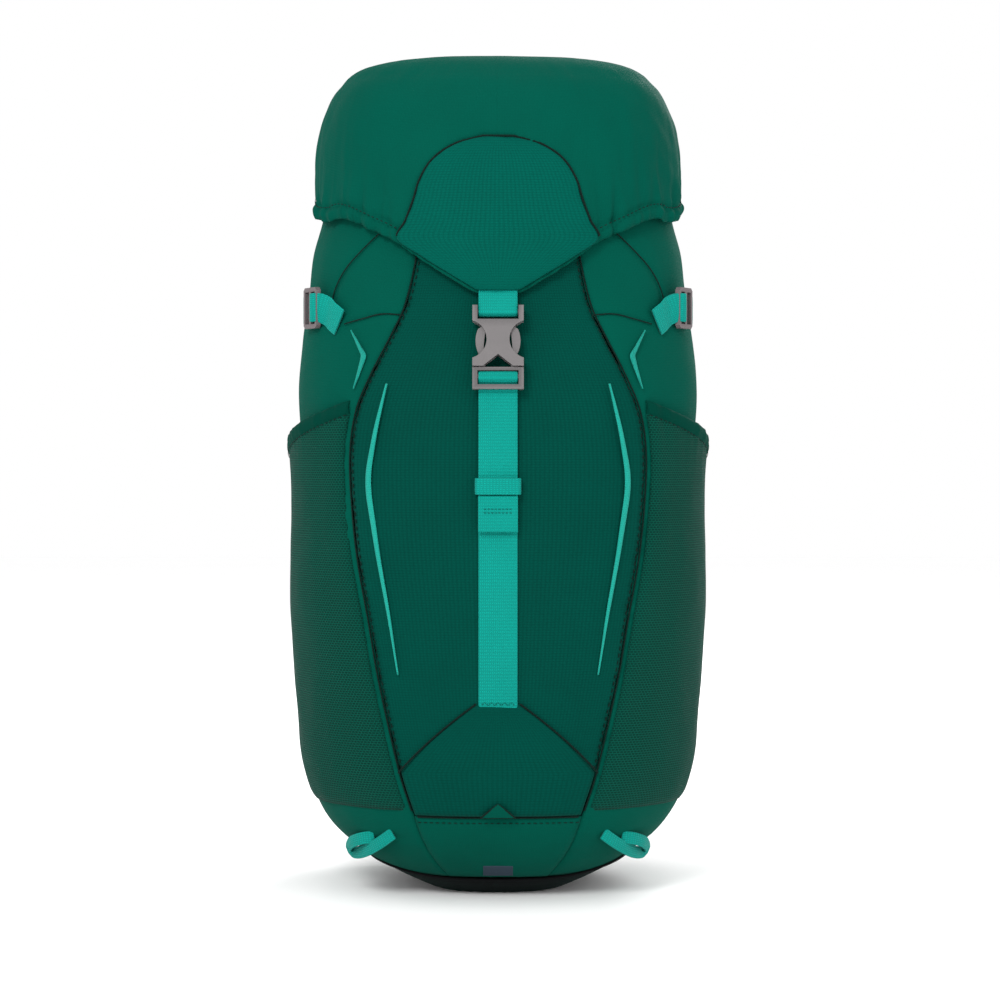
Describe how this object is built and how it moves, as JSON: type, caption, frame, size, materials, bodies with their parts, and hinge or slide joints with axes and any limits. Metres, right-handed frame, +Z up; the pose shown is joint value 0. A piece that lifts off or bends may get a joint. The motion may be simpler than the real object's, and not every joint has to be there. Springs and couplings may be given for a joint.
{
  "type": "hiking backpack",
  "caption": "Top-loading hiking backpack with a buckled lid, mesh side pockets, framed mesh back, padded shoulder straps and a hip belt.",
  "frame": {"origin": "centre of the flat underside", "axes": "+Z up, +X to the right of someone facing the outside, -Y out of the front panel, +Y towards the wearer"},
  "size_m": [0.296, 0.3126, 0.58],
  "materials": {
    "green_fabric": "woven polyester, matt",
    "ripstop_patch": "ripstop weave, matt",
    "pocket_mesh": "elastic knitted mesh",
    "back_fabric": "coated polyester, black",
    "spacer_mesh": "open trampoline mesh, black",
    "teal_webbing": "flat woven webbing",
    "dark_webbing": "flat woven webbing, black",
    "elastic": "woven elastic band",
    "grey_acetal": "moulded, satin",
    "dark_acetal": "moulded, satin",
    "frame_steel": "drawn spring steel rod",
    "zip_metal": "lacquered zinc, black",
    "cord": "braided cord",
    "pad_foam": "mesh-covered foam",
    "tag": "plain woven label"
  },
  "bodies": {
    "bag": {"front_panel": "green_fabric", "lower_front_panel": "green_fabric", "side_panel_left": "green_fabric", "side_panel_right": "green_fabric", "back_panel": "back_fabric", "base_panel": "back_fabric", "front_base_patch": "ripstop_patch", "side_pocket_left": "pocket_mesh", "side_pocket_right": "pocket_mesh", "collar": "green_fabric", "collar_cord": "cord", "cord_lock_body": "dark_acetal", "front_strap": "teal_webbing", "strap_keeper": "elastic", "side_strap_anchor_left": "teal_webbing", "side_strap_anchor_right": "teal_webbing", "side_strap_left": "teal_webbing", "side_strap_right": "teal_webbing", "side_ladder_lock_left": "dark_acetal", "side_ladder_lock_right": "dark_acetal", "pole_loop_left": "teal_webbing", "pole_loop_right": "teal_webbing", "frame_wire": "frame_steel", "back_mesh": "spacer_mesh", "reservoir_sleeve": "back_fabric", "lower_webbing_left": "dark_webbing", "lower_webbing_right": "dark_webbing", "haul_loop": "dark_webbing", "lid_yoke": "green_fabric", "blank_tag": "tag"},
    "lid": {"lid_shell": "green_fabric", "lid_floor": "green_fabric", "lid_patch": "ripstop_patch", "lid_tab": "teal_webbing", "front_buckle_socket": "grey_acetal", "lid_zip_tape": "back_fabric"},
    "zip_slider": {"lid_zip_slider": "zip_metal"},
    "zip_pull": {"lid_zip_pull": "teal_webbing"},
    "front_plug": {"front_buckle_plug": "grey_acetal"},
    "front_prong_left": {"front_buckle_prong_left": "grey_acetal"},
    "front_prong_right": {"front_buckle_prong_right": "grey_acetal"},
    "lock_button": {"cord_lock_button": "dark_acetal"},
    "harness": {"shoulder_pad_left": "pad_foam", "shoulder_pad_right": "pad_foam", "sternum_rail_left": "dark_webbing", "sternum_rail_right": "dark_webbing"},
    "sternum_strap": {"sternum_socket": "dark_acetal", "sternum_webbing_left": "dark_webbing", "sternum_webbing_right": "dark_webbing", "sternum_slider_left": "dark_acetal", "sternum_slider_right": "dark_acetal"},
    "sternum_plug": {"sternum_plug": "dark_acetal"},
    "sternum_prong_left": {"sternum_prong_left": "dark_acetal"},
    "sternum_prong_right": {"sternum_prong_right": "dark_acetal"},
    "hip_belt": {"hip_webbing_left": "dark_webbing", "hip_webbing_right": "dark_webbing", "hip_socket": "dark_acetal"},
    "hip_plug": {"hip_plug": "dark_acetal"},
    "hip_prong_left": {"hip_prong_left": "dark_acetal"},
    "hip_prong_right": {"hip_prong_right": "dark_acetal"}
  },
  "joints": [
    {"name": "lid_hinge", "type": "hinge", "parent": "bag", "child": "lid", "pos_m": [0, 0.086, 0.508], "axis": [-1, 0, 0], "range_deg": [0, 95], "deforming": ["front_buckle_prong_left", "front_buckle_prong_right"]},
    {"name": "zip_slide", "type": "slide", "parent": "lid", "child": "zip_slider", "axis": [-1, 0, 0], "range_m": [0, 0.116]},
    {"name": "zip_pull_flip", "type": "hinge", "parent": "zip_slider", "child": "zip_pull", "pos_m": [0.058, 0.0926, 0.526], "axis": [1, 0, 0], "range_deg": [0, 150]},
    {"name": "front_buckle_release", "type": "slide", "parent": "bag", "child": "front_plug", "axis": [0, -0.1369, -0.9906], "range_m": [0, 0.03], "deforming": ["front_strap"]},
    {"name": "front_squeeze_right", "type": "hinge", "parent": "front_plug", "child": "front_prong_right", "pos_m": [0.011, -0.11961, 0.3604], "axis": [0, -0.9906, 0.1369], "range_deg": [0, 5], "stiffness_Nm_per_rad": 0.6},
    {"name": "front_squeeze_left", "type": "hinge", "parent": "front_plug", "child": "front_prong_left", "pos_m": [-0.011, -0.11961, 0.3604], "axis": [0, 0.9906, -0.1369], "range_deg": [0, 5], "stiffness_Nm_per_rad": 0.6},
    {"name": "cord_lock_press", "type": "slide", "parent": "bag", "child": "lock_button", "axis": [-1, 0, 0], "range_m": [0, 0.003], "stiffness_N_per_m": 900, "springref_m": -0.002},
    {"name": "harness_swing", "type": "hinge", "parent": "bag", "child": "harness", "pos_m": [0, 0.1065, 0.452], "axis": [1, 0, 0], "range_deg": [0, 12], "deforming": ["lower_webbing_left", "lower_webbing_right"]},
    {"name": "sternum_height", "type": "slide", "parent": "harness", "child": "sternum_strap", "axis": [0, 0, 1], "range_m": [-0.024, 0.024]},
    {"name": "sternum_release", "type": "slide", "parent": "sternum_strap", "child": "sternum_plug", "axis": [1, 0, 0], "range_m": [0, 0.022], "deforming": ["sternum_webbing_right"]},
    {"name": "sternum_squeeze_right", "type": "hinge", "parent": "sternum_plug", "child": "sternum_prong_right", "pos_m": [0.01605, 0.177, 0.34351], "axis": [0, 1, 0], "range_deg": [0, 5], "stiffness_Nm_per_rad": 0.3},
    {"name": "sternum_squeeze_left", "type": "hinge", "parent": "sternum_plug", "child": "sternum_prong_left", "pos_m": [0.01605, 0.177, 0.36049], "axis": [0, -1, 0], "range_deg": [0, 5], "stiffness_Nm_per_rad": 0.3},
    {"name": "hip_belt_lift", "type": "hinge", "parent": "bag", "child": "hip_belt", "pos_m": [0, 0.103, 0.086], "axis": [1, 0, 0], "range_deg": [0, 15]},
    {"name": "hip_release", "type": "slide", "parent": "hip_belt", "child": "hip_plug", "axis": [1, 0, 0], "range_m": [0, 0.028], "deforming": ["hip_webbing_right"]},
    {"name": "hip_squeeze_right", "type": "hinge", "parent": "hip_plug", "child": "hip_prong_right", "pos_m": [0.0208, 0.182, 0.075], "axis": [0, 1, 0], "range_deg": [0, 5], "stiffness_Nm_per_rad": 0.6},
    {"name": "hip_squeeze_left", "type": "hinge", "parent": "hip_plug", "child": "hip_prong_left", "pos_m": [0.0208, 0.182, 0.097], "axis": [0, -1, 0], "range_deg": [0, 5], "stiffness_Nm_per_rad": 0.6}
  ],
  "couplings": [
    {"joint": "front_squeeze_left", "follows": "front_squeeze_right", "ratio": 1},
    {"joint": "sternum_squeeze_left", "follows": "sternum_squeeze_right", "ratio": 1},
    {"joint": "hip_squeeze_left", "follows": "hip_squeeze_right", "ratio": 1}
  ]
}
